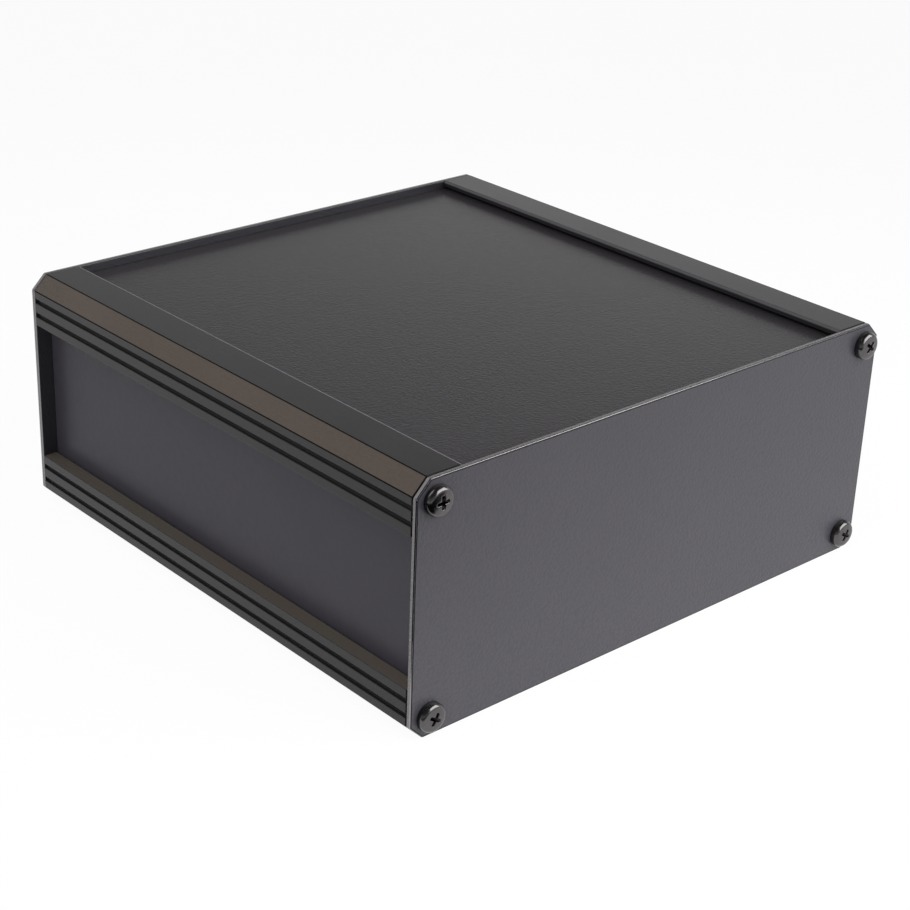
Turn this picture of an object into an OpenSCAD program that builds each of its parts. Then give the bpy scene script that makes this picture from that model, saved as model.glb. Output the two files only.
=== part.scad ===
// Instrument case: four extruded corner rails hold four slide-in panels between two screwed end plates.
// Origin: centre of the footprint, on the surface the case stands on. X runs along the rails, the
// grooved front looks to -Y, and Z is up.

/* [Case] */
// Length over the outer faces of the two end plates
case_l = 165; // [90:1:320]
// Depth over the outer faces of the front and rear rails
case_d = 166.5; // [100:0.5:280]
// Height over the outer faces of the top and bottom rails
case_h = 69; // [56:1:140]
// Bevel on the four long corners, measured along each face
bevel = 4.1; // [2:0.1:4.5]

/* [Corner rails] */
// Width of the smooth lip beside the top or bottom panel, from the outer side face
lip_w = 15.2; // [14:0.1:20]
// Thickness of that lip
lip_t = 1.8; // [1.2:0.1:2]
// Clear height of the slot under the lip
lip_slot_h = 2.3; // [1.8:0.1:2.6]
// How far that slot goes in under the lip
lip_slot_deep = 5.6; // [4:0.1:6]
// Height of the grooved cheek beside the front or rear panel, from the outer lip face
cheek_h = 14.3; // [13.8:0.1:18]
// Depth of the flat ledge at the cheek's edge
ledge_deep = 4.3; // [3.6:0.1:5]
// Wall thickness of the cheek where it is relieved behind its grooves
cheek_t = 2.4; // [2:0.1:3]
// Thickness of the ledge strip at the cheek's edge
ledge_t = 1.6; // [1.2:0.1:2.2]
// Clear width of the slot for the front or rear panel
cheek_slot_w = 1.8; // [1.6:0.1:3]
// How far that slot goes in past the cheek's edge
cheek_slot_deep = 4.3; // [3:0.1:4.4]
// Thickness of the inner fins that back the panels
fin_t = 1.6; // [1.2:0.1:2]
// How far the inner fins stop short of the outer edges
fin_short = 1; // [0.5:0.1:2]

/* [Cheek grooves] */
// Distance of each groove's middle line from the outer lip face
groove_at = [7, 11.1]; // [6:0.1:12]
// Width of a groove
groove_w = 1.4; // [0.8:0.1:1.8]
// Depth of a groove
groove_deep = 1; // [0.5:0.1:1.2]

/* [Screw ports] */
// Port centre from the outer side face
port_u = 5.9; // [5.8:0.1:6.2]
// Port centre from the outer lip face
port_v = 5.7; // [5.6:0.1:6]
// Radius of the port's bore, which takes an M4 screw
port_r = 2; // [1.98:0.01:2.05]
// Width of the slit that opens the port to the inside
port_slit_w = 1.2; // [0.8:0.1:1.4]
// Direction of that slit, in degrees from the lip face towards the cheek
port_slit_turn = 27; // [20:1:28]
// Outer radius of the round wall on the port's inner side
port_wall_r = 3.9; // [3.6:0.1:4]

/* [Sheet parts] */
// Thickness of the end plates
plate_t = 1.5; // [1:0.1:3]
// Radius of the screw holes in the end plates
plate_hole_r = 2.2; // [2.1:0.05:2.6]
// Thickness of the top and bottom panels
cover_t = 1.5; // [1:0.1:1.7]
// Thickness of the front and rear panels
face_t = 1.5; // [1:0.1:1.7]
// Gap between a panel's edge and whatever closes its slot
panel_gap = 0.2; // [0.1:0.05:0.4]

/* [Screws] */
// Radius of the pan head
head_r = 3.9; // [3.5:0.1:4.2]
// Height of the pan head
head_h = 2.6; // [2.2:0.1:3]
// Radius of the head's rounded shoulder
head_shoulder_r = 1.2; // [0.8:0.1:1.7]
// Radius of the sphere that crowns the head
head_crown_r = 16; // [12:1:30]
// Radius of the screw's shank
shank_r = 1.97; // [1.4:0.01:1.97]
// Length of the shank under the head
shank_l = 12; // [6:1:20]
// Span of the cross recess at the top of the head
cross_w = 3.7; // [3:0.1:4.8]
// Width of each arm of the cross
cross_arm = 1; // [0.7:0.05:1.3]
// Depth of the cross recess
cross_deep = 1.9; // [1:0.1:2.2]
// Turn of each screw's cross, in degrees, going round the right end plate
right_turns = [3, 50, 61, 60]; // [0:1:89]
// Turn of each screw's cross, in degrees, going round the left end plate
left_turns = [33, 71, 12, 50]; // [0:1:89]

/* [Hidden] */
$fn = 64;
// A cut runs this far past the face it opens, so that no skin is left
past = 0.5;
rail_l = case_l - 2 * plate_t;
panel_l = rail_l - 2 * panel_gap;
// Inner ends of the two panel slots, from the outer side face and from the outer lip face
lip_slot_u = lip_w - lip_slot_deep;
cheek_slot_v = cheek_h - cheek_slot_deep;
// Seats: the top panel lies on the inner fins, the bottom panel on the outer lips
cover_seat = lip_t + lip_slot_h;
cover_w = case_d - 2 * lip_slot_u - 2 * panel_gap;
// The front and rear panels stand on the slot ends of the bottom rails, against the inner fins
face_h = case_h - 2 * cheek_slot_v - panel_gap;
face_u = ledge_deep + cheek_slot_w - face_t;
// Inner face of the fin that backs the front or rear panel
face_fin_u = ledge_deep + cheek_slot_w + fin_t;
// Screw positions, going round the plate from the front top corner
screw_y = case_d / 2 - port_u;
screw_z = [port_v, case_h - port_v];
// Depth of the crown, which the shoulder's top stays inside
crown_h = head_crown_r - sqrt(head_crown_r * head_crown_r - head_r * head_r);
shoulder_z = head_h - crown_h / 3 - head_shoulder_r;
black_satin = [0.16, 0.16, 0.17];
black_coat = [0.22, 0.21, 0.23];
panel_grey = [0.2, 0.21, 0.23];
dark_steel = [0.25, 0.25, 0.26];

// Section of a rail: u runs inwards from the side face, v inwards from the lip face
module rail_section() {
    difference() {
        union() {
            polygon([[bevel, 0], [lip_w, 0], [lip_w, lip_t], [lip_slot_u, lip_t],
                     [lip_slot_u, port_v], [port_u, port_v], [port_u, cheek_slot_v],
                     [0, cheek_slot_v], [0, bevel]]);
            translate([port_u, port_v]) circle(r = port_wall_r);
            cover_fin();
            face_fin();
            cheek();
        }
        translate([port_u, port_v]) circle(r = port_r);
        translate([port_u, port_v]) rotate(port_slit_turn) translate([0, -port_slit_w / 2])
            square([port_wall_r + past, port_slit_w]);
        for (v = groove_at)
            translate([-past, v - groove_w / 2]) square([groove_deep + past, groove_w]);
    }
}

// Fin under the top or bottom panel, rooted in the port's wall
module cover_fin() {
    translate([port_u, cover_seat]) square([lip_w - fin_short - port_u, fin_t]);
}

// Fin behind the front or rear panel, with the foot that closes the panel's slot
module face_fin() {
    translate([face_fin_u - fin_t, cheek_slot_v - fin_t])
        square([fin_t, cheek_h - fin_short - cheek_slot_v + fin_t]);
    translate([port_u, cheek_slot_v - fin_t]) square([face_fin_u - port_u, fin_t]);
}

// Grooved wall beside the front or rear panel, thicker at its edge where it makes the ledge
module cheek() {
    translate([0, cheek_slot_v - past]) square([cheek_t, cheek_h - cheek_slot_v + past]);
    translate([0, cheek_h - ledge_t]) square([ledge_deep, ledge_t]);
}

// A rail in its place: side is -1 at the front and 1 at the rear, top says which lip face it has
module rail(side, top) {
    color(black_satin)
        translate([-rail_l / 2, side * case_d / 2, top ? case_h : 0])
            mirror([0, side > 0 ? 1 : 0, 0]) mirror([0, 0, top ? 1 : 0])
                rotate([90, 0, 90]) linear_extrude(rail_l) rail_section();
}

module front_top_rail() { rail(-1, true); }
module front_bottom_rail() { rail(-1, false); }
module rear_top_rail() { rail(1, true); }
module rear_bottom_rail() { rail(1, false); }

// A flat panel between the rails, given its lowest corner and its size across the rails
module panel(low_y, low_z, wide, high) {
    translate([-panel_l / 2, low_y, low_z]) cube([panel_l, wide, high]);
}

module top_panel() {
    color(black_coat) panel(-cover_w / 2, case_h - cover_seat, cover_w, cover_t);
}

module bottom_panel() {
    color(black_coat) panel(-cover_w / 2, lip_t, cover_w, cover_t);
}

module front_panel() {
    color(panel_grey) panel(-case_d / 2 + face_u, cheek_slot_v, face_t, face_h);
}

module rear_panel() {
    color(panel_grey) panel(case_d / 2 - face_u - face_t, cheek_slot_v, face_t, face_h);
}

// End plate in the YZ plane with the rails' bevelled outline, outer face towards +X
module end_plate() {
    d = case_d / 2;
    rotate([90, 0, 90]) linear_extrude(plate_t) difference() {
        polygon([[bevel - d, 0], [d - bevel, 0], [d, bevel], [d, case_h - bevel],
                 [d - bevel, case_h], [bevel - d, case_h], [-d, case_h - bevel], [-d, bevel]]);
        for (y = [-screw_y, screw_y], z = screw_z) translate([y, z]) circle(r = plate_hole_r);
    }
}

module right_end_plate() {
    color(black_coat) translate([case_l / 2 - plate_t, 0, 0]) end_plate();
}

module left_end_plate() {
    color(black_coat) translate([-case_l / 2, 0, 0]) end_plate();
}

// Pan head screw along Z: the head stands on Z = 0 and the shank goes down
module screw(turn) {
    difference() {
        union() {
            intersection() {
                rotate_extrude() head_section();
                translate([0, 0, head_h - head_crown_r]) sphere(r = head_crown_r);
            }
            translate([0, 0, -shank_l]) cylinder(r = shank_r, h = shank_l + past);
        }
        rotate(turn) cross_recess();
    }
}

// Half section of the pan head before its crown: a straight rim and a rounded shoulder
module head_section() {
    square([head_r, shoulder_z]);
    square([head_r - head_shoulder_r, head_h]);
    intersection() {
        translate([head_r - head_shoulder_r, shoulder_z]) circle(r = head_shoulder_r);
        square([head_r, head_h]);
    }
}

// Cross slot whose arms run out towards a pointed bottom
module cross_recess() {
    floor_z = head_h - cross_deep;
    slope = (cross_w - cross_arm) / (2 * cross_deep);
    intersection() {
        translate([0, 0, floor_z])
            cylinder(r1 = cross_arm / 2, r2 = cross_w / 2 + slope * past, h = cross_deep + past);
        union() {
            for (a = [0, 90])
                rotate(a) translate([-cross_w, -cross_arm / 2, floor_z - past])
                    cube([2 * cross_w, cross_arm, cross_deep + 3 * past]);
        }
    }
}

// Four screws, one at each corner of a plate
module screw_set(turns) {
    places = [[-screw_y, screw_z[1]], [screw_y, screw_z[1]], [screw_y, screw_z[0]], [-screw_y, screw_z[0]]];
    color(dark_steel) for (i = [0 : 3])
        translate([case_l / 2, places[i][0], places[i][1]]) rotate([0, 90, 0]) screw(turns[i]);
}

module right_end_screws() { screw_set(right_turns); }
module left_end_screws() { mirror([1, 0, 0]) screw_set(left_turns); }

front_top_rail();
front_bottom_rail();
rear_top_rail();
rear_bottom_rail();
top_panel();
bottom_panel();
front_panel();
rear_panel();
right_end_plate();
left_end_plate();
right_end_screws();
left_end_screws();
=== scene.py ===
"""Instrument case in its finishes: extruded rails, sheet panels, end plates, screws and a studio.

Every piece is worked out from a section or an outline, in metres, in the frame of the solid model.
"""

import math

import bpy
import numpy as np
from bpy.props import FloatProperty, FloatVectorProperty, IntProperty, PointerProperty
from mathutils import Matrix, Vector
from mathutils.geometry import tessellate_polygon


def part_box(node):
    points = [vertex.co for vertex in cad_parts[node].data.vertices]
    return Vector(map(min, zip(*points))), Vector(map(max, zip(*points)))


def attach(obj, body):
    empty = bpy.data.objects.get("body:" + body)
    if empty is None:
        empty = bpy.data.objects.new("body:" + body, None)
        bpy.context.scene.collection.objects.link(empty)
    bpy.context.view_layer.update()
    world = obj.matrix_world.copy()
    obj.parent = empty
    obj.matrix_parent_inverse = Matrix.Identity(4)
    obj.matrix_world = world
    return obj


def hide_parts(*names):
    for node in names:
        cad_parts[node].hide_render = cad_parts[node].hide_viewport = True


bl_info = {
    "name": "Extruded Instrument Case",
    "version": (1, 0, 0),
    "blender": (4, 5, 0),
    "location": "View3D > Sidebar > Case",
    "description": "Builds a screwed case of extruded rails, slide-in panels and end plates",
    "category": "Add Mesh",
}

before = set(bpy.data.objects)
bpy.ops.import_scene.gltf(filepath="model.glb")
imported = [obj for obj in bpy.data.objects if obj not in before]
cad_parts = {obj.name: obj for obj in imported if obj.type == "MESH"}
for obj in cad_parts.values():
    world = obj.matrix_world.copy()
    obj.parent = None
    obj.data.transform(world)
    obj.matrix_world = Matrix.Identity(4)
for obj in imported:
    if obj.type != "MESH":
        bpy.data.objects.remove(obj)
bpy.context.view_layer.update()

PLATE_LOW, PLATE_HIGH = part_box("right_end_plate")
RAIL_LOW, RAIL_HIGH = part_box("front_top_rail")
CASE_DEPTH = PLATE_HIGH.y - PLATE_LOW.y
CASE_HEIGHT = PLATE_HIGH.z - PLATE_LOW.z
RAIL_ENDS = (RAIL_LOW.x, RAIL_HIGH.x)

SCREW_TURNS = {"right_end_screws": (3, 50, 61, 60), "left_end_screws": (33, 71, 12, 50)}  # degrees
REAR_LIP_HIGHLIGHT = 0.2                   # of the front lips' painted highlight, on the rear ones
SAME_POINT = 1e-7                   # points nearer than this are one point
SHARP_ANGLE = math.radians(38)      # an edge that turns more than this stays sharp
LAMP_AIM = (0, 0, 0.03)             # low in the middle of the case
SENSOR_WIDTH = 36                   # millimetres
CLIP_RANGE = (0.01, 50)             # nearest and furthest that the camera sees


def length(name, about, size):
    """A size property in metres."""
    return FloatProperty(name=name, description=about, default=size, min=0, unit="LENGTH",
                         precision=5)


def share(name, about, size):
    """A plain number from 0 to 1."""
    return FloatProperty(name=name, description=about, default=size, min=0, max=1,
                         subtype="FACTOR")


def angle(name, about, degrees):
    """An angle property, given here in degrees."""
    return FloatProperty(name=name, description=about, default=math.radians(degrees),
                         subtype="ANGLE")


def colour(name, about, red, green, blue):
    """A linear colour property."""
    return FloatVectorProperty(name=name, description=about, default=(red, green, blue),
                               min=0, max=1, subtype="COLOR")


class RailSizes(bpy.types.PropertyGroup):
    """Section of the corner rails: u runs in from the side face, v in from the lip face."""
    bevel: length("Bevel", "Bevel on the long corner, along each face", 0.0041)
    lip_w: length("Lip width", "Smooth lip beside the top or bottom panel",
                  RAIL_HIGH.y - RAIL_LOW.y)
    lip_t: length("Lip thickness", "Thickness of that lip", 0.0018)
    lip_slot_h: length("Lip slot height", "Clear height of the slot under the lip", 0.0023)
    lip_slot_deep: length("Lip slot depth", "How far that slot goes in", 0.0056)
    cheek_h: length("Cheek height", "Grooved cheek beside the front or rear panel",
                    RAIL_HIGH.z - RAIL_LOW.z)
    cheek_t: length("Cheek wall", "Wall of the cheek where it is relieved behind", 0.0024)
    ledge_deep: length("Ledge depth", "Depth of the flat ledge at the cheek's edge", 0.0043)
    ledge_t: length("Ledge thickness", "Thickness of the ledge strip", 0.0016)
    cheek_slot_w: length("Cheek slot width", "Slot for the front or rear panel", 0.0018)
    cheek_slot_deep: length("Cheek slot depth", "How far that slot goes in", 0.0043)
    fin_t: length("Fin thickness", "Inner fins that back the panels", 0.0016)
    fin_short: length("Fin setback", "How far the fins stop short of the outer edges", 0.001)
    groove_one: length("First groove", "Middle of the first groove, from the lip face", 0.007)
    groove_two: length("Second groove", "Middle of the second groove, from the lip face", 0.0111)
    groove_w: length("Groove width", "Width of a groove", 0.0014)
    groove_deep: length("Groove depth", "Depth of a groove", 0.001)
    port_u: length("Port in", "Screw port centre from the side face", 0.0059)
    port_v: length("Port down", "Screw port centre from the lip face", 0.0057)
    port_r: length("Port radius", "Bore of the screw port", 0.002)
    port_wall_r: length("Port wall radius", "Round wall of the port", 0.0039)
    slit_w: length("Slit width", "Slit that opens the port inwards", 0.0012)
    slit_turn: angle("Slit direction", "From the lip face towards the cheek", 27)
    arris_r: length("Arris radius", "Rounding of the outer long edges", 0.0006)
    lip_r: length("Lip edge radius", "Rounding of the lip's edge beside the panel", 0.0008)
    edge_r: length("Edge radius", "Rounding of the other long edges", 0.0002)
    nook_r: length("Inner corner radius", "Rounding in the slots and grooves", 0.00014)
    end_r: length("End rounding", "Broken edge at the sawn ends", 0.0004)


class SheetSizes(bpy.types.PropertyGroup):
    """Edges of the flat panels and the end plates."""
    panel_edge_r: length("Panel edge", "Rounding of a panel's sheared edges", 0.00015)
    plate_corner_r: length("Plate corners", "Rounding of the plate's outline corners", 0.0009)
    plate_outer_r: length("Plate outer edge", "Rounding of the coated outer edge", 0.00045)
    plate_inner_r: length("Plate inner edge", "Rounding of the coated inner edge", 0.0004)
    plate_margin: length("Plate margin", "Strip inside the outer edge that takes up its shading",
                         0.0004)
    hole_r: length("Screw hole radius", "Holes for the plate screws", 0.0022)


class ScrewSizes(bpy.types.PropertyGroup):
    """Pan head cross recess screws."""
    head_r: length("Head radius", "Radius of the pan head", 0.0039)
    head_h: length("Head height", "Height of the pan head", 0.0026)
    shoulder_r: length("Shoulder", "Radius of the head's rounded shoulder", 0.0012)
    crown_r: length("Crown radius", "Sphere that crowns the head", 0.016)
    shank_r: length("Shank radius", "Outer radius of the thread", 0.00197)
    shank_l: length("Shank length", "Length under the head", 0.012)
    thread_pitch: length("Pitch", "Rise of the thread in one turn", 0.0007)
    thread_deep: length("Thread depth", "Height of the thread", 0.0004)
    cross_span: length("Cross span", "Span of the recess at the top of the head", 0.0037)
    cross_arm: length("Cross arm", "Width of each arm", 0.001)
    cross_deep: length("Cross depth", "Depth of the recess", 0.0019)
    octant_points: IntProperty(name="Points", description="Points round an eighth of the head",
                               default=8, min=4, max=16)


class CaseFinish(bpy.types.PropertyGroup):
    """Colours of the finishes, linear."""
    rail: colour("Rail", "Black anodised extrusion", 0.0165, 0.0155, 0.017)
    # painted sheen: the rail's skin with a browner cast, made lighter for the light the bevels catch
    bevel: colour("Bevel", "Same skin on the bevels, with a brown sheen", 0.063, 0.0492, 0.0415)
    # painted light: the rail's skin with an olive cast, made lighter for the light that falls on the
    # up-facing ledges
    ledge: colour("Ledge", "Same skin on the ledges, olive brown", 0.089, 0.077, 0.067)
    cover: colour("Cover", "Coat on the top and bottom panels", 0.0285, 0.0258, 0.0285)
    face: colour("Face", "Anodised front and rear panels", 0.038, 0.0355, 0.0435)
    plate: colour("Plate", "Textured coat on the end plates", 0.05, 0.047, 0.057)
    screw: colour("Screw", "Black plated steel", 0.115, 0.11, 0.11)


class StudioSettings(bpy.types.PropertyGroup):
    """Camera, floor and lamps."""
    azimuth: angle("Azimuth", "Camera round the case; 0 looks along +Y", 47.463)
    elevation: angle("Elevation", "Camera above the horizon", 25.265)
    roll: angle("Roll", "Turn of the camera about its own axis", 2.262)
    aim: FloatVectorProperty(name="Aim", description="Point the camera looks at", unit="LENGTH",
                             default=(0.020189, -0.015024, 0.033))
    distance: length("Distance", "Camera to aim", 0.54882)
    lens: FloatProperty(name="Lens", description="Focal length in millimetres", default=79.83)
    floor: colour("Floor", "Pale studio floor", 0.92, 0.92, 0.92)
    floor_glow: share("Floor glow", "How much of the floor is shown as plain white", 0.95)


# --- Shapes -------------------------------------------------------------------------------------


def along(heading):
    """Unit vectors of the given headings."""
    return np.stack([np.cos(heading), np.sin(heading)], -1)


def bent_outline(corners, radii, steps=5):
    """Closed outline with its corners bent to arcs of some steps, and the normal at each point.

    An arc starts at radius x tan(half the turn) before its corner. Its centre lies to the side it
    turns to, and its points go round that centre as the heading changes evenly.
    """
    corners, radii = np.asarray(corners, float), np.asarray(radii, float)
    leave = np.roll(corners, -1, 0) - corners
    heading_out = np.arctan2(leave[:, 1], leave[:, 0])
    heading_in = np.roll(heading_out, 1)
    turn = (heading_out - heading_in + np.pi) % (2 * np.pi) - np.pi
    start = corners - along(heading_in) * (radii * np.tan(np.abs(turn) / 2))[:, None]
    reach = (np.sign(turn) * radii)[:, None]
    heading = heading_in[:, None] + turn[:, None] * np.linspace(0, 1, steps)
    centre = start + reach * along(heading_in + np.pi / 2)
    points = (centre[:, None] - reach[:, None] * along(heading + np.pi / 2)).reshape(-1, 2)
    normals = along(heading - np.pi / 2).reshape(-1, 2)
    apart = np.linalg.norm(points - np.roll(points, 1, 0), axis=1) > SAME_POINT
    return points[apart], normals[apart]


def corners_round(centre, radius, start, end, count):
    """Corners of a polygon drawn outside an arc: bent to the radius, they give the arc itself."""
    step = (end - start) / count
    return centre + radius / math.cos(step / 2) * along(start + step * (np.arange(count) + 0.5))


def hole_outline(centre, radius, count=12):
    """Round hole, gone round clockwise so that its normals point into the hole."""
    corners = corners_round(np.asarray(centre), radius, 0, -2 * np.pi, count)
    return bent_outline(corners, np.full(count, radius), steps=4)


def carried(outlines, low, high, low_r, high_r, steps=6, margin=0.0):
    """Bar or sheet of one section, carried along w from low to high, with rounded end edges.

    At angle a over the rim a point stands in by radius x (1 - cos a) along its normal and off the
    end by radius x (1 - sin a), and its normal leans over by a. A last ring can stand further in on
    the high end, by the margin. Gives points, normals, how far each point is over a rim (sin a, and
    0 on the margin's ring), and faces.
    """
    lean = np.linspace(0, np.pi / 2, steps)
    inset = np.concatenate([low_r * (1 - np.cos(lean[::-1])), high_r * (1 - np.cos(lean))])
    height = np.concatenate([low + low_r * (1 - np.sin(lean[::-1])),
                             high - high_r * (1 - np.sin(lean))])
    tip = np.concatenate([-lean[::-1], lean])
    over = np.sin(tip)
    if margin:
        inset, height = np.append(inset, high_r + margin), np.append(height, high)
        tip, over = np.append(tip, np.pi / 2), np.append(over, 0.0)
    points, normals, faces, first = [], [], [], 0
    low_rims, high_rims, low_marks, high_marks = [], [], [], []
    for outline, outward in outlines:
        count, rings = len(outline), len(height)
        flat = outline[None] - inset[:, None, None] * outward[None]
        points.append(np.dstack([flat, np.broadcast_to(height[:, None, None], (rings, count, 1))]))
        normals.append(np.dstack([np.cos(tip)[:, None, None] * outward[None],
                                  np.broadcast_to(np.sin(tip)[:, None, None], (rings, count, 1))]))
        mark = first + np.arange(rings * count).reshape(rings, count)
        onward = np.roll(mark, -1, 1)
        faces.append(np.stack([mark[:-1], onward[:-1], onward[1:], mark[1:]], -1).reshape(-1, 4))
        low_rims.append(flat[0])
        high_rims.append(flat[-1])
        low_marks.append(mark[0])
        high_marks.append(mark[-1])
        first += rings * count
    caps = [filled(low_rims, np.concatenate(low_marks))[:, ::-1],
            filled(high_rims, np.concatenate(high_marks))]
    edge = np.concatenate([np.repeat(over, p.shape[1]) for p in points])
    points = np.concatenate([p.reshape(-1, 3) for p in points])
    normals = np.concatenate([n.reshape(-1, 3) for n in normals])
    return points, normals, edge, np.concatenate(faces), np.concatenate(caps)


def filled(rims, marks):
    """Triangles that fill a flat outline and leave its holes, all facing +w; found in millimetres."""
    loops = [[Vector((x, y, 0)) for x, y in rim * 1000] for rim in rims]
    triangles = np.array(tessellate_polygon(loops))
    flat = np.concatenate(rims)[triangles]
    one, two = flat[:, 1] - flat[:, 0], flat[:, 2] - flat[:, 0]
    turned = one[:, 0] * two[:, 1] - one[:, 1] * two[:, 0] < 0
    triangles[turned] = triangles[turned][:, ::-1]
    return marks[triangles]


def make_piece(name, points, faces, material, normals=None, marks=None):
    """A mesh object at the origin from arrays of points and faces.

    It can bring its own normals, and marks: numbers at the points that a finish reads by name.
    """
    mesh = bpy.data.meshes.new(name)
    mesh.from_pydata(points.tolist(), [], [f for group in faces for f in group.tolist()])
    for key, values in (marks or {}).items():
        mark = mesh.attributes.new(key, "FLOAT", "POINT")
        mark.data.foreach_set("value", values.astype(np.float32))
    mesh.shade_smooth()
    if normals is None:
        mesh.set_sharp_from_angle(angle=SHARP_ANGLE)
    else:
        mesh.normals_split_custom_set_from_vertices(normals.tolist())
    mesh.materials.append(material)
    mesh.validate()
    piece = bpy.data.objects.new(name, mesh)
    bpy.context.scene.collection.objects.link(piece)
    return piece


def settle(piece, node):
    """The piece rides on the case and stands for a solid of the model."""
    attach(piece, "root")
    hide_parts(node)


def turned_over(faces, over):
    """Faces with their order reversed where the shape is mirrored."""
    return [group[:, ::-1] for group in faces] if over else faces


def rail_outline(s):
    """Outline of the rail's section, anticlockwise in (u, v), with the radius at each corner.

    The port is a circle of its own radius, joined to the inside by a slit whose walls stand half
    its width off the slit's middle line, so they meet a circle at arcsine(half width / radius).
    """
    lip_slot_u = s.lip_w - s.lip_slot_deep
    cheek_slot_v = s.cheek_h - s.cheek_slot_deep
    seat = s.lip_t + s.lip_slot_h
    fin_u = s.ledge_deep + s.cheek_slot_w
    fin_in = fin_u + s.fin_t
    port = np.array([s.port_u, s.port_v])
    half = s.slit_w / 2
    wall_gap, bore_gap = math.asin(half / s.port_wall_r), math.asin(half / s.port_r)
    foot = math.acos((fin_in - s.port_u) / s.port_wall_r)
    ease = math.radians(4)
    bore_from, bore_to = s.slit_turn - bore_gap, s.slit_turn + bore_gap - 2 * np.pi
    runs = [
        ([[s.bevel, 0]], s.arris_r),
        ([[s.lip_w, 0]], s.lip_r),
        ([[s.lip_w, s.lip_t]], s.edge_r),
        ([[lip_slot_u, s.lip_t], [lip_slot_u, seat]], s.nook_r),
        ([[s.lip_w - s.fin_short, seat], [s.lip_w - s.fin_short, seat + s.fin_t]], s.edge_r),
        ([port + [s.port_wall_r, 0]], s.nook_r),
        (corners_round(port, s.port_wall_r, ease, s.slit_turn - wall_gap - ease, count=1),
         s.port_wall_r),
        (port + s.port_wall_r * along(np.array([s.slit_turn - wall_gap])), s.nook_r),
        (port + s.port_r * along(np.array([bore_from])), s.nook_r),
        (corners_round(port, s.port_r, bore_from - 2 * ease, bore_to + 2 * ease, count=12), s.port_r),
        (port + s.port_r * along(np.array([bore_to])), s.nook_r),
        (port + s.port_wall_r * along(np.array([s.slit_turn + wall_gap])), s.nook_r),
        (corners_round(port, s.port_wall_r, s.slit_turn + wall_gap + ease, foot - ease, count=1),
         s.port_wall_r),
        (port + s.port_wall_r * along(np.array([foot])), s.nook_r),
        ([[fin_in, s.cheek_h - s.fin_short], [fin_u, s.cheek_h - s.fin_short]], s.edge_r),
        ([[fin_u, cheek_slot_v], [s.cheek_t, cheek_slot_v],
          [s.cheek_t, s.cheek_h - s.ledge_t]], s.nook_r),
        ([[s.ledge_deep, s.cheek_h - s.ledge_t], [s.ledge_deep, s.cheek_h], [0, s.cheek_h]],
         s.edge_r),
    ]
    for middle in (s.groove_two, s.groove_one):
        near, far = middle + s.groove_w / 2, middle - s.groove_w / 2
        runs.append(([[0, near], [s.groove_deep, near], [s.groove_deep, far], [0, far]], s.nook_r))
    runs.append(([[0, s.bevel]], s.arris_r))
    parts = [np.reshape(part, (-1, 2)) for part, _ in runs]
    radii = [np.full(len(part), radius) for part, (_, radius) in zip(parts, runs)]
    return bent_outline(np.concatenate(parts), np.concatenate(radii))


def rail_marks(s, outline):
    """Where the skin differs round the section, from 0 to 1.

    The bevel and the ledge are the points that lie on those faces. The mark of painted shade on the
    bevel's arrises falls with the distance from their sharp corners, and the mark of painted
    highlight on the lip's edge with that from the lip's corner, both counted in radii of the rounding
    there.
    """
    u, v = outline.T
    on_face = 0.00005
    arris_reach, arris_fade, lip_fade = 0.41, 0.25, 0.15
    off_bevel = (u + v - s.bevel) / math.sqrt(2)
    on_ledge = (v > s.cheek_h - on_face) & (u > s.edge_r * 0.9) & (u < s.ledge_deep)
    from_arris = np.minimum(np.hypot(u - s.bevel, v), np.hypot(u, v - s.bevel)) / s.arris_r
    from_lip = np.hypot(u - s.lip_w, v) / s.lip_r
    return {"bevel": np.where(off_bevel < on_face, 1.0, 0.0),
            "ledge": np.where(on_ledge, 1.0, 0.0),
            "arris": np.clip((arris_reach - from_arris) / arris_fade, 0, 1),
            "polished": np.clip((1 - from_lip) / lip_fade, 0, 1)}


# --- Finishes -----------------------------------------------------------------------------------


class Wire:
    """A value, colour or vector on its way through the nodes; sums on values add Math nodes."""

    def __init__(self, finish, socket):
        self.finish, self.socket = finish, socket

    def sum(self, operation, first, second):
        return self.finish.node("ShaderNodeMath", {"operation": operation}, {0: first, 1: second})

    def __add__(self, other):
        return self.sum("ADD", self, other)

    def __radd__(self, other):
        return self.sum("ADD", other, self)

    def __sub__(self, other):
        return self.sum("SUBTRACT", self, other)

    def __rsub__(self, other):
        return self.sum("SUBTRACT", other, self)

    def __mul__(self, other):
        return self.sum("MULTIPLY", self, other)

    def __rmul__(self, other):
        return self.sum("MULTIPLY", other, self)


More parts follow.
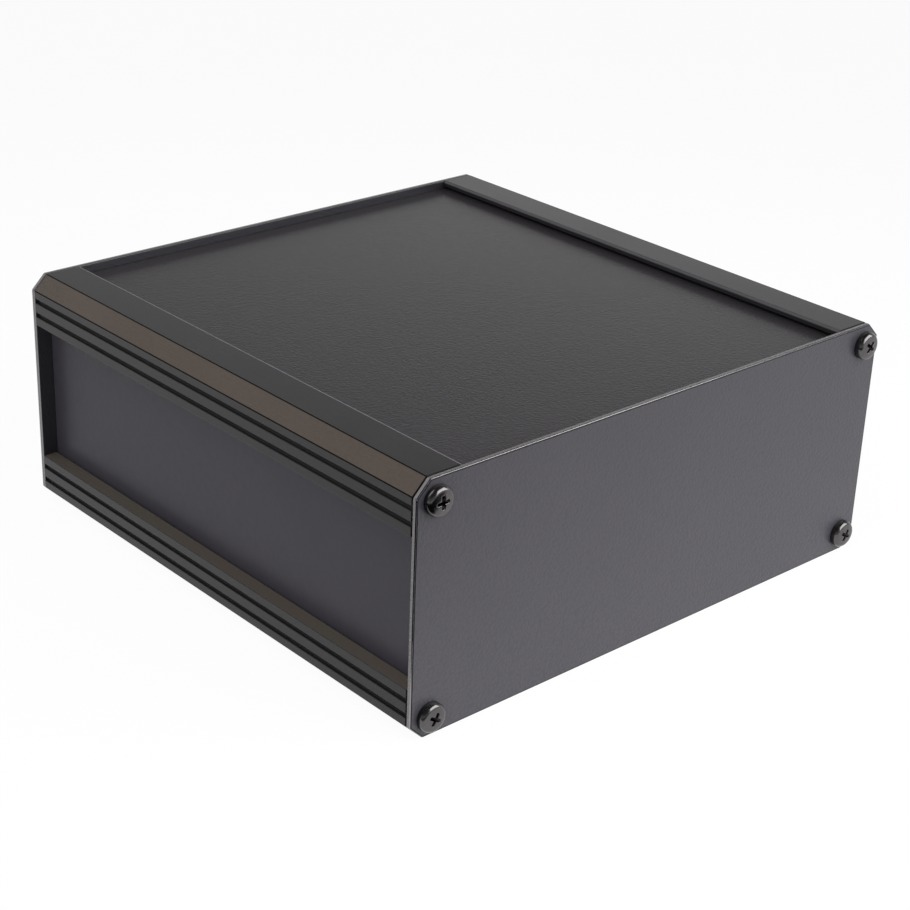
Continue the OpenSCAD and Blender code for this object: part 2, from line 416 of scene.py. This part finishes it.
class Finish:
    """Nodes of one material, or of the world."""

    def __init__(self, owner):
        self.owner = owner
        owner.use_nodes = True
        self.tree = owner.node_tree
        self.tree.nodes.clear()

    def node(self, kind, settings=None, sockets=None, out=0):
        """One node of a type: its settings are set first, then its sockets' values or links."""
        made = self.tree.nodes.new(kind)
        for key, value in (settings or {}).items():
            if key == "stops":
                self.lay_stops(made.color_ramp, value)
            else:
                setattr(made, key, value)
        for key, value in (sockets or {}).items():
            socket = self.pick(made.inputs, key)
            if isinstance(value, Wire):
                self.tree.links.new(value.socket, socket)
            else:
                socket.default_value = value
        return Wire(self, self.pick(made.outputs, out))

    @staticmethod
    def pick(sockets, key):
        """A socket by its number, its identifier or its name."""
        if isinstance(key, int):
            return sockets[key]
        return next(s for s in sockets if key in (s.identifier, s.name))

    @staticmethod
    def lay_stops(ramp, stops):
        """Stops of a ramp as (place, grey) pairs."""
        while len(ramp.elements) < len(stops):
            ramp.elements.new(0.5)
        for element, (place, grey) in zip(ramp.elements, stops):
            element.position, element.color = place, (grey, grey, grey, 1)

    def place(self, scale=(1, 1, 1)):
        """Position on the piece, in metres, stretched by a scale."""
        spot = self.node("ShaderNodeTexCoord", out="Object")
        return self.node("ShaderNodeMapping", {}, {"Vector": spot, "Scale": scale})

    def mark(self, name):
        """A mark that the mesh carries."""
        return self.node("ShaderNodeAttribute", {"attribute_name": name}, out="Fac")

    def noise(self, where, per_metre, detail, roughness=0.5):
        """Soft noise from 0 to 1 about 0.5, with the given bumps per metre."""
        sockets = {"Vector": where, "Scale": per_metre, "Detail": detail, "Roughness": roughness}
        return self.node("ShaderNodeTexNoise", {}, sockets, "Fac")

    def ramp(self, value, *stops):
        """Value sent through a ramp of greys, given as (place, grey) pairs."""
        return self.node("ShaderNodeValToRGB", {"stops": stops}, {"Fac": value})

    def blend(self, part, first, second):
        """Colour that goes from the first to the second."""
        sockets = {"Factor_Float": part, "A_Color": first, "B_Color": second}
        return self.node("ShaderNodeMix", {"data_type": "RGBA"}, sockets, "Result_Color")

    def bump(self, height, deep):
        """Normal of a surface that rises by a depth in metres where the height goes from 0 to 1."""
        sockets = {"Height": height, "Distance": deep, "Strength": 1.0}
        return self.node("ShaderNodeBump", {}, sockets, "Normal")

    def coat(self, **sockets):
        """Ends the material in a Principled surface."""
        named = {key.replace("_", " "): value for key, value in sockets.items()}
        return self.end_in(self.node("ShaderNodeBsdfPrincipled", {}, named))

    def end_in(self, shader, kind="ShaderNodeOutputMaterial"):
        """Joins a shader to the output of the material or the world, and gives its owner back."""
        made = self.tree.nodes.new(kind)
        self.tree.links.new(shader.socket, made.inputs["Surface"])
        return self.owner


def new_finish(name):
    """An empty material of that name."""
    return Finish(bpy.data.materials.new(name))


def toned(rgb, red=1.0, green=None, blue=None):
    """A colour property as four numbers, times one gain, or times three to shift its hue."""
    gains = (red, red if green is None else green, red if blue is None else blue)
    return tuple(min(1.0, c * gain) for c, gain in zip(rgb, gains)) + (1.0,)


def rail_finish(colours):
    """Satin black anodising with fine die lines along X.

    Bevels and ledges have a browner cast that shifts from spot to spot, and are made lighter there as
    painted sheen on the bevels and painted light on the up-facing ledges. The bevel's arrises and the
    sawn ends are painted dark as shade, and the lip's edge beside the panel is painted light as a
    highlight.
    """
    f = new_finish("rail_black_anodising")
    bevel, arris, polished = f.mark("bevel"), f.mark("arris"), f.mark("polished")
    lines = f.noise(f.place((1.5, 260, 260)), per_metre=30, detail=3)
    hairs = f.noise(f.place((6, 900, 900)), per_metre=9, detail=2)
    drift = f.noise(f.place((1, 0.2, 0.2)), per_metre=38, detail=1)
    cloud = f.noise(f.place(), per_metre=55, detail=3)
    speck = f.noise(f.place(), per_metre=1500, detail=1)
    shift = f.ramp(drift * 0.4 + speck * 0.6, (0.36, 0), (0.64, 1))
    # painted sheen on the bevels, with their browner cast
    bevel_sheen = f.blend(shift, toned(colours.bevel, 0.88, 0.9, 0.86), toned(colours.bevel, 1.1))
    # painted light on the ledges, with their olive cast
    olive = f.blend(shift, toned(colours.ledge, 0.96, 1.05, 0.94),
                    toned(colours.ledge, 1.06, 0.98, 1.0))
    skin = f.blend(cloud * 1.4 - 0.2, toned(colours.rail, 0.9), toned(colours.rail, 1.1))
    skin = f.blend(bevel, skin, bevel_sheen)
    skin = f.blend(f.mark("ledge"), skin, olive)
    # painted highlight: the lip's edge beside the panel is made light grey and glossy
    skin = f.blend(polished, skin, toned(colours.rail, 15))
    # painted shade: the bevel's arrises and the rails' rounded ends are made near black
    skin = f.blend(arris * 0.9, skin, toned(colours.rail, 0.13))
    rough = 0.24 + (lines - 0.5) * 0.15 + (cloud - 0.5) * 0.1 + arris * 0.5 - polished * 0.1
    metal = f.node("ShaderNodeMath", {"operation": "MINIMUM"},
                   {0: bevel * 0.6 + arris + polished * 0.6, 1: 1.0})
    return f.coat(Base_Color=skin, Roughness=rough, Metallic=metal, Specular_IOR_Level=0.235,
                  Normal=f.bump(lines + hairs * 0.5, deep=0.000004))


def cover_finish(colours):
    """Fine satin coat on the top and bottom panels: shallow leather grain and a few soft specks."""
    f = new_finish("cover_fine_coat")
    grain = f.noise(f.place(), per_metre=1300, detail=3, roughness=0.6)
    specks = f.ramp(f.noise(f.place(), per_metre=900, detail=0), (0.13, 1), (0.18, 0))
    cloud = f.noise(f.place(), per_metre=24, detail=3)
    skin = f.blend(cloud, toned(colours.cover, 0.92), toned(colours.cover, 1.08))
    skin = f.blend(f.ramp(grain, (0.3, 0.3), (0.6, 0)), skin, toned(colours.cover, 0.6))
    skin = f.blend(specks, skin, toned(colours.cover, 0.6))
    return f.coat(Base_Color=skin, Roughness=0.2 + (grain - 0.5) * 0.22, Specular_IOR_Level=0.14,
                  Normal=f.bump(grain, deep=0.000075))


def face_finish(colours):
    """Smooth bluish satin anodising on the front and rear panels, softly mottled."""
    f = new_finish("face_smooth_anodising")
    cloud = f.noise(f.place(), per_metre=30, detail=4, roughness=0.55)
    grain = f.noise(f.place(), per_metre=1900, detail=2)
    mottle = f.noise(f.place(), per_metre=420, detail=2)
    skin = f.blend(cloud * 1.6 - 0.3, toned(colours.face, 0.9), toned(colours.face, 1.1))
    rough = 0.34 + (cloud - 0.5) * 0.12 + (mottle - 0.5) * 0.2
    return f.coat(Base_Color=skin, Roughness=rough, Specular_IOR_Level=0.12,
                  Normal=f.bump(grain + mottle * 6, deep=0.000006))


def plate_finish(colours):
    """Textured coat on the end plates: leather grain finer than a millimetre, made paler low down as
    painted light from the floor.

    The rim mark is 1 where the outer edge has turned to face outwards, and there the coat is painted
    dark as shade. The outward mark is 0 on the inner face, which is plainer and painted darker as
    shade, 0.5 on the sheet's edge and 1 on the outer face: between them the rounded edges are painted
    bright as highlights.
    """
    f = new_finish("plate_textured_coat")
    where = f.place()
    outward = f.mark("outward")
    cells = f.node("ShaderNodeTexVoronoi", {"feature": "SMOOTH_F1"},
                   {"Vector": where, "Scale": 1300, "Smoothness": 0.8}, "Distance")
    grain = f.noise(where, per_metre=2100, detail=2)
    cloud = f.noise(where, per_metre=20, detail=3)
    rise = f.node("ShaderNodeSeparateXYZ", {}, {0: where}, "Z")
    # painted light: the plate's colour grows paler towards the bottom, where the floor lights it
    low = f.node("ShaderNodeMapRange", {},
                 {"Value": rise, "From Min": CASE_HEIGHT, "From Max": 0.0}, "Result")
    # painted shade: near black where the outer rounding meets the face
    thin = f.ramp(f.mark("rim"), (0.85, 0), (0.95, 1))
    # painted highlight: the rounded edges and the sheet's edge become bright grey metal, smoother and
    # without grain
    edge_highlight = f.ramp(outward, (0.06, 0), (0.2, 1), (0.45, 0.4), (0.55, 0.4), (0.65, 1), (0.87, 1),
                  (0.92, 0))
    # painted shade: the inner face is made darker
    inner = f.ramp(outward, (0.03, 1), (0.1, 0))
    skin = f.blend(cloud * 0.6 + low * 0.9 - 0.25, toned(colours.plate, 0.84),
                   toned(colours.plate, 1.12))
    skin = f.blend(f.ramp(cells, (0.25, 0), (0.7, 0.35)), skin, toned(colours.plate, 0.62))
    # painted shade at the outer rim, painted highlight on the edges, painted shade on the inner face
    skin = f.blend(thin * 0.9, skin, toned(colours.plate, 0.1))
    skin = f.blend(edge_highlight, skin, toned(colours.screw, 2.6))
    skin = f.blend(inner, skin, toned(colours.plate, 0.55))
    height = (cells * 0.9 + grain * 0.5) * (1 - edge_highlight)
    return f.coat(Base_Color=skin, Roughness=0.32 + (grain - 0.5) * 0.16 - edge_highlight * 0.15,
                  Metallic=thin * 0.9 + edge_highlight + inner * 0.3, Specular_IOR_Level=0.38,
                  Normal=f.bump(height, deep=0.00006))


def screw_finish(colours):
    """Black plated steel with a soft sheen."""
    f = new_finish("screw_black_plating")
    cloud = f.noise(f.place(), per_metre=900, detail=3)
    skin = f.blend(cloud, toned(colours.screw, 0.8), toned(colours.screw, 1.2))
    return f.coat(Base_Color=skin, Metallic=1.0, Roughness=0.2 + (cloud - 0.5) * 0.12,
                  Normal=f.bump(cloud, deep=0.000004))


# --- Pieces -------------------------------------------------------------------------------------


def build_rails(context):
    """Four rails of one section, each mirrored into its corner.

    The section's u and v become depth in from the side face and height in from the lip face.
    """
    sizes, material = context.scene.case_rail, rail_finish(context.scene.case_finish)
    outline, outward = rail_outline(sizes)
    points, normals, edge, *faces = carried([(outline, outward)], *RAIL_ENDS, sizes.end_r,
                                            sizes.end_r)
    rings = len(points) // len(outline)
    marks = {name: np.tile(mark, rings) for name, mark in rail_marks(sizes, outline).items()}
    # the rounded sawn ends join the painted shade of the arrises: dark in the joint against the
    # plates
    marks["arris"] = np.maximum(marks["arris"], np.abs(edge))
    # the painted highlight is weaker on the rear lips
    rear_marks = dict(marks, polished=marks["polished"] * REAR_LIP_HIGHLIGHT)
    u, v, w = points.T
    for node in ("front_top_rail", "front_bottom_rail", "rear_top_rail", "rear_bottom_rail"):
        front, top = "front" in node, "top" in node
        side = -1 if front else 1
        rise, tilt = (CASE_HEIGHT - v, -1) if top else (v, 1)
        spot = np.stack([w, side * (CASE_DEPTH / 2 - u), rise], 1)
        facing = np.stack([normals[:, 2], -side * normals[:, 0], tilt * normals[:, 1]], 1)
        piece = make_piece(node + "_extrusion", spot, turned_over(faces, front == top), material,
                           facing, marks if front else rear_marks)
        settle(piece, node)


def build_sheet(name, node, across, material, edge_r):
    """A flat panel with broken edges in the place of its solid, thin in the axis across."""
    low, high = (np.array(corner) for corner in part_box(node))
    one, two = [axis for axis in range(3) if axis != across]
    corners = [[low[one], low[two]], [high[one], low[two]],
               [high[one], high[two]], [low[one], high[two]]]
    outline = bent_outline(corners, [3 * edge_r] * 4)
    points, normals, _, *faces = carried([outline], low[across], high[across], edge_r, edge_r)
    order = np.argsort([one, two, across])
    piece = make_piece(name, points[:, order], turned_over(faces, across == 1), material,
                       normals[:, order])
    settle(piece, node)


def build_panels(context):
    """Top and bottom covers, thin in Z, and front and rear faces, thin in Y."""
    scene = context.scene
    edge_r = scene.case_sheet.panel_edge_r
    cover, face = cover_finish(scene.case_finish), face_finish(scene.case_finish)
    build_sheet("top_cover_sheet", "top_panel", 2, cover, edge_r)
    build_sheet("bottom_cover_sheet", "bottom_panel", 2, cover, edge_r)
    build_sheet("front_face_sheet", "front_panel", 1, face, edge_r)
    build_sheet("rear_face_sheet", "rear_panel", 1, face, edge_r)


def build_plates(context):
    """End plates: the rails' bevelled outline carried through the sheet, with four screw holes."""
    scene = context.scene
    sizes, rail, material = scene.case_sheet, scene.case_rail, plate_finish(scene.case_finish)
    half, tall, cut = CASE_DEPTH / 2, CASE_HEIGHT, rail.bevel
    corners = [[cut - half, 0], [half - cut, 0], [half, cut], [half, tall - cut],
               [half - cut, tall], [cut - half, tall], [-half, tall - cut], [-half, cut]]
    rim = bent_outline(corners, [sizes.plate_corner_r] * 8)
    holes = [hole_outline(spot, sizes.hole_r) for spot in screw_spots(rail)]
    thick = PLATE_HIGH.x - PLATE_LOW.x
    points, normals, edge, *faces = carried([rim] + holes, 0, thick, sizes.plate_inner_r,
                                            sizes.plate_outer_r, margin=sizes.plate_margin)
    marks = {"rim": np.maximum(edge, 0), "outward": (1 + normals[:, 2]) / 2}
    for node, side in (("right_end_plate", 1), ("left_end_plate", -1)):
        spot = np.stack([side * (PLATE_LOW.x + points[:, 2]), points[:, 0], points[:, 1]], 1)
        facing = np.stack([side * normals[:, 2], normals[:, 0], normals[:, 1]], 1)
        piece = make_piece(node + "_sheet", spot, turned_over(faces, side < 0), material, facing,
                           marks)
        settle(piece, node)


def screw_spots(rail):
    """Screw centres (y, z), going round the plate from the front top corner."""
    y, low, high = CASE_DEPTH / 2 - rail.port_u, rail.port_v, CASE_HEIGHT - rail.port_v
    return [(-y, high), (y, high), (y, low), (-y, low)]


def cross_ring(reach, half, count):
    """Closed outline of a cross slot: an eighth runs from an arm's end round its corner and along
    its side to the inner corner; the eighths are mirrored and turned by right angles."""
    step, knees = np.linspace(0, 1, count + 1), [0, 0.2, 0.32, 1]
    x = np.interp(step, knees, [reach, 0.985 * reach, 0.93 * reach, half])
    y = np.interp(step, knees, [0, 0.75 * half, half, half])
    quarter = np.concatenate([np.stack([x, y], 1)[:-1], np.stack([y, x], 1)[:0:-1]])
    return np.concatenate([quarter @ np.array([[c, s], [-s, c]])
                           for c, s in ((1, 0), (0, 1), (-1, 0), (0, -1))])


def screw_surface(s):
    """One screw along +w as rings of points: recess, crown, shoulder, rim, underside and thread.

    The recess rings are crosses, which blend evenly into circles; on the crown the height is that
    of a sphere at each point's own radius. On the shank the radius follows a flat-topped tooth
    whose phase is height / pitch plus the part of the turn, and fades out at the neck and the tip.
    """
    count = s.octant_points
    turn = np.arange(8 * count) * 2 * np.pi / (8 * count)
    circle = along(turn)

    def crown(flat):
        return s.head_h - s.crown_r + np.sqrt(s.crown_r ** 2 - (flat ** 2).sum(-1))

    def cross(reach, half, drop):
        flat = cross_ring(reach, half, count)
        return np.column_stack([flat, crown(flat) - drop])

    def round_ring(radius, height):
        return np.column_stack([circle * radius, np.full(len(circle), height)])

    reach, half, floor = s.cross_span / 2, s.cross_arm / 2, s.head_h - s.cross_deep
    floor_reach, floor_half, dish = 0.4 * reach, 0.62 * half, 0.0001
    lip, lip_drop, wall_drop = 0.00006, 0.00005, 0.00014
    floor_ring = np.column_stack([cross_ring(floor_reach, floor_half, count),
                                  np.full(8 * count, floor)])
    rings = [np.array([[0, 0, floor - dish]] * (8 * count)), floor_ring,
             cross(reach - lip, half - lip, wall_drop),
             cross(reach - 0.3 * lip, half - 0.3 * lip, lip_drop)]
    rim, flat_r = cross_ring(reach + lip, half + lip, count), s.head_r - s.shoulder_r
    for part in (0, 0.25, 0.6, 1):
        flat = rim * (1 - part) + circle * flat_r * part
        rings.append(np.column_stack([flat, crown(flat)]))
    low = crown(np.array([flat_r, 0])) - s.shoulder_r
    for lean in np.linspace(0, np.pi / 2, 7)[1:]:
        rings.append(round_ring(flat_r + s.shoulder_r * math.sin(lean),
                                low + s.shoulder_r * math.cos(lean)))
    edge = 0.0001
    rings += [round_ring(s.head_r, edge), round_ring(s.head_r - 0.3 * edge, 0.3 * edge),
              round_ring(s.head_r - edge, 0), round_ring(s.shank_r, 0)]
    core, neck, tip = s.shank_r - s.thread_deep, 0.0008, 0.0006
    crest, flank, end = 1.5, 3.4, s.shank_l - tip
    for height in np.arange(neck, end, s.thread_pitch / 6):
        phase = (height / s.thread_pitch + turn / (2 * np.pi)) % 1
        tooth = np.clip(crest - flank * np.abs(phase - 0.5), 0, 1)
        fade = min(1, (height - neck) / s.thread_pitch, (end - height) / s.thread_pitch)
        radius = core + s.thread_deep * tooth * fade
        rings.append(np.column_stack([circle * radius[:, None], np.full(len(turn), -height)]))
    rings += [round_ring(core, -end), round_ring(0.7 * core, -s.shank_l), round_ring(0, -s.shank_l)]
    return np.array(rings)


def ring_faces(rings, count, first):
    """Quads between neighbouring rings whose heights fall from ring to ring, facing outwards."""
    mark = first + np.arange(rings * count).reshape(rings, count)
    onward = np.roll(mark, -1, 1)
    return np.stack([mark[:-1], mark[1:], onward[1:], onward[:-1]], -1).reshape(-1, 4)


def build_screws(context):
    """Four screws at each plate, each with its cross at its own turn."""
    scene = context.scene
    sizes, material = scene.case_screw, screw_finish(scene.case_finish)
    rings = screw_surface(sizes)
    count = rings.shape[1]
    spots = screw_spots(scene.case_rail)
    for node, degrees in SCREW_TURNS.items():
        side = 1 if "right" in node else -1
        points, faces = [], []
        for number, ((y, z), turn) in enumerate(zip(spots, np.radians(degrees))):
            flat = rings[..., :2] @ np.array([[math.cos(turn), math.sin(turn)],
                                              [-math.sin(turn), math.cos(turn)]])
            x = side * (PLATE_HIGH.x + rings[..., 2])
            points.append(np.dstack([x, y + flat[..., 1], z - flat[..., 0]]).reshape(-1, 3))
            faces.append(ring_faces(len(rings), count, number * len(rings) * count))
        piece = make_piece(node + "_pan_heads", np.concatenate(points),
                           turned_over(faces, side < 0), material)
        settle(piece, node)


# --- Studio -------------------------------------------------------------------------------------


def build_floor(studio):
    """Pale floor with an opening under the case, so that the case can also be seen from below.

    The lens and mirrors see it as plain white; other light sees cloth whose colour darkens away from
    the case, a painted pool of light round the case.
    """
    far, opening, drop = 12.0, 0.94, 0.00002
    lit_to, dark_from = 0.12, 0.55
    outer = np.array([[-far, -far], [far, -far], [far, far], [-far, far]])
    inner = outer / far * [opening * RAIL_HIGH.x, opening * CASE_DEPTH / 2]
    points = np.column_stack([np.concatenate([outer, inner]), np.full(8, -drop)])
    mark = np.arange(4)
    onward = np.roll(mark, -1)
    faces = np.stack([mark, onward, onward + 4, mark + 4], 1)
    f = new_finish("studio_floor")
    lens, mirror, glass = [f.node("ShaderNodeLightPath", out=ray) for ray in
                           ("Is Camera Ray", "Is Glossy Ray", "Is Transmission Ray")]
    away = f.node("ShaderNodeVectorMath", {"operation": "LENGTH"}, {0: f.place()}, "Value")
    dim = f.node("ShaderNodeMapRange", {"interpolation_type": "SMOOTHSTEP"},
                 {"Value": away, "From Min": lit_to, "From Max": dark_from}, "Result")
    # painted light: the floor's colour falls off away from the case like a pool of lamp light
    floor_light_pool = f.blend(dim, toned(studio.floor), toned(studio.floor, 0.35))
    cloth = f.node("ShaderNodeBsdfDiffuse", {}, {"Color": floor_light_pool})
    glow = f.node("ShaderNodeEmission", {}, {"Color": (1, 1, 1, 1), "Strength": 1.0})
    seen = (lens + mirror + glass) * studio.floor_glow
    shown = f.node("ShaderNodeMixShader", {}, {0: seen, 1: cloth, 2: glow})
    back = f.node("ShaderNodeNewGeometry", out="Backfacing")
    clear = f.node("ShaderNodeBsdfTransparent")
    f.end_in(f.node("ShaderNodeMixShader", {}, {0: back, 1: shown, 2: clear}))
    make_piece("studio_floor", points, [faces], f.owner)


def build_card(studio):
    """Black card on the floor in front of the case. Only reflections show it: it darkens the
    screws' near flanks and the plate's near edge."""
    near, far, half, rise = 0.14, 0.62, 0.4, 0.001
    sight = np.array([math.sin(studio.azimuth), -math.cos(studio.azimuth)])
    across = np.array([-sight[1], sight[0]])
    flat = np.array([near * sight - half * across, far * sight - half * across,
                     far * sight + half * across, near * sight + half * across])
    f = new_finish("studio_black_card")
    f.end_in(f.node("ShaderNodeBsdfDiffuse", {}, {"Color": (0.01, 0.01, 0.01, 1)}))
    card = make_piece("studio_black_card", np.column_stack([flat, np.full(4, rise)]),
                      [np.array([[0, 1, 2, 3]])], f.owner)
    card.visible_camera = card.visible_diffuse = card.visible_shadow = False


def build_world(scene):
    """Soft room, white in a low band at the rear and dim elsewhere.

    One ramp runs from front to rear and one from the horizon upwards, and their product is the
    room's brightness in each direction.
    """
    world = bpy.data.worlds.new("studio_room")
    scene.world = world
    f = Finish(world)
    way = f.node("ShaderNodeTexCoord", out="Generated")
    rear = f.node("ShaderNodeVectorMath", {"operation": "DOT_PRODUCT"},
                  {0: way, 1: Vector((-0.35, 0.93, 0.0)).normalized()}, "Value")
    rise = f.node("ShaderNodeSeparateXYZ", {}, {0: way}, "Z")
    round_room = f.ramp(rear * 0.5 + 0.5, (0.0, 0.35), (0.6, 0.3), (0.86, 0.6), (0.94, 1.0))
    upwards = f.ramp(rise, (0.1, 1), (0.34, 1.0), (0.375, 0.5), (0.46, 0.36), (0.8, 0.3))
    sky = f.node("ShaderNodeBackground", {}, {"Color": round_room * upwards, "Strength": 1.0})
    f.end_in(sky, "ShaderNodeOutputWorld")


def hang_lamp(name, place, size, level, mirrored=True):
    """Softbox of a width and height, aimed at the case. Its power makes its face as bright as the
    level says, and it may stay out of mirrors."""
    lamp = bpy.data.lights.new(name, "AREA")
    lamp.shape = "RECTANGLE"
    lamp.size, lamp.size_y = size
    lamp.energy = level * math.pi * size[0] * size[1]
    holder = bpy.data.objects.new(name, lamp)
    holder.visible_camera, holder.visible_glossy = False, mirrored
    place = Vector(place)
    holder.matrix_world = Matrix.LocRotScale(
        place, (Vector(LAMP_AIM) - place).to_track_quat("-Z", "Y"), None)
    bpy.context.scene.collection.objects.link(holder)


def hang_camera(scene, studio):
    """Camera at its azimuth and elevation round the aim, rolled about its own axis."""
    lens = bpy.data.cameras.new("studio_camera")
    lens.lens, lens.sensor_width = studio.lens, SENSOR_WIDTH
    lens.clip_start, lens.clip_end = CLIP_RANGE
    turn = (Matrix.Rotation(studio.azimuth, 4, "Z")
            @ Matrix.Rotation(math.pi / 2 - studio.elevation, 4, "X")
            @ Matrix.Rotation(studio.roll, 4, "Z"))
    camera = bpy.data.objects.new("studio_camera", lens)
    camera.matrix_world = Matrix.Translation(
        Vector(studio.aim) + turn.to_3x3() @ Vector((0, 0, studio.distance))) @ turn
    scene.collection.objects.link(camera)
    scene.camera = camera


def build_stage(context):
    """Floor, black card, room, softboxes and camera."""
    scene, studio = context.scene, context.scene.case_studio
    build_floor(studio)
    build_card(studio)
    build_world(scene)
    hang_lamp("key_softbox", (0.50, 0.255, 0.36), size=(0.66, 0.5), level=4.8)
    hang_lamp("fill_softbox", (-0.72, -0.48, 0.83), size=(1.0, 0.9), level=1.3)
    hang_lamp("top_softbox", (0.22, -0.4, 0.8), size=(0.6, 0.6), level=2.0, mirrored=False)
    hang_lamp("front_softbox", (0.3, -0.85, 0.35), size=(0.8, 0.6), level=2.3, mirrored=False)
    hang_camera(scene, studio)
    scene.view_settings.view_transform = "Standard"


# --- Add-on -------------------------------------------------------------------------------------


class CASE_OT_rails(bpy.types.Operator):
    """Make the four extruded corner rails"""
    bl_idname = "case.rails"
    bl_label = "Corner Rails"

    def execute(self, context):
        build_rails(context)
        return {"FINISHED"}


class CASE_OT_panels(bpy.types.Operator):
    """Make the top, bottom, front and rear panels"""
    bl_idname = "case.panels"
    bl_label = "Slide-in Panels"

    def execute(self, context):
        build_panels(context)
        return {"FINISHED"}


class CASE_OT_plates(bpy.types.Operator):
    """Make the two end plates"""
    bl_idname = "case.plates"
    bl_label = "End Plates"

    def execute(self, context):
        build_plates(context)
        return {"FINISHED"}


class CASE_OT_screws(bpy.types.Operator):
    """Make the eight pan head screws"""
    bl_idname = "case.screws"
    bl_label = "Plate Screws"

    def execute(self, context):
        build_screws(context)
        return {"FINISHED"}


class CASE_OT_stage(bpy.types.Operator):
    """Set up the floor, the room, the lamps and the camera"""
    bl_idname = "case.stage"
    bl_label = "Studio"

    def execute(self, context):
        build_stage(context)
        return {"FINISHED"}


class CASE_PT_sidebar(bpy.types.Panel):
    """Lists the steps that build the case"""
    bl_label = "Instrument Case"
    bl_idname = "CASE_PT_sidebar"
    bl_space_type = "VIEW_3D"
    bl_region_type = "UI"
    bl_category = "Case"

    def draw(self, context):
        for step in STEPS:
            self.layout.operator(step.bl_idname)


STEPS = (CASE_OT_rails, CASE_OT_panels, CASE_OT_plates, CASE_OT_screws, CASE_OT_stage)
GROUPS = {"case_rail": RailSizes, "case_sheet": SheetSizes, "case_screw": ScrewSizes,
          "case_finish": CaseFinish, "case_studio": StudioSettings}


def register():
    for kind in (*GROUPS.values(), *STEPS, CASE_PT_sidebar):
        bpy.utils.register_class(kind)
    for name, group in GROUPS.items():
        setattr(bpy.types.Scene, name, PointerProperty(type=group))


def unregister():
    for name in GROUPS:
        delattr(bpy.types.Scene, name)
    for kind in reversed((*GROUPS.values(), *STEPS, CASE_PT_sidebar)):
        bpy.utils.unregister_class(kind)


def main():
    """Builds every piece and the studio."""
    register()
    bpy.ops.case.rails()
    bpy.ops.case.panels()
    bpy.ops.case.plates()
    bpy.ops.case.screws()
    bpy.ops.case.stage()


if __name__ == "__main__":
    main()
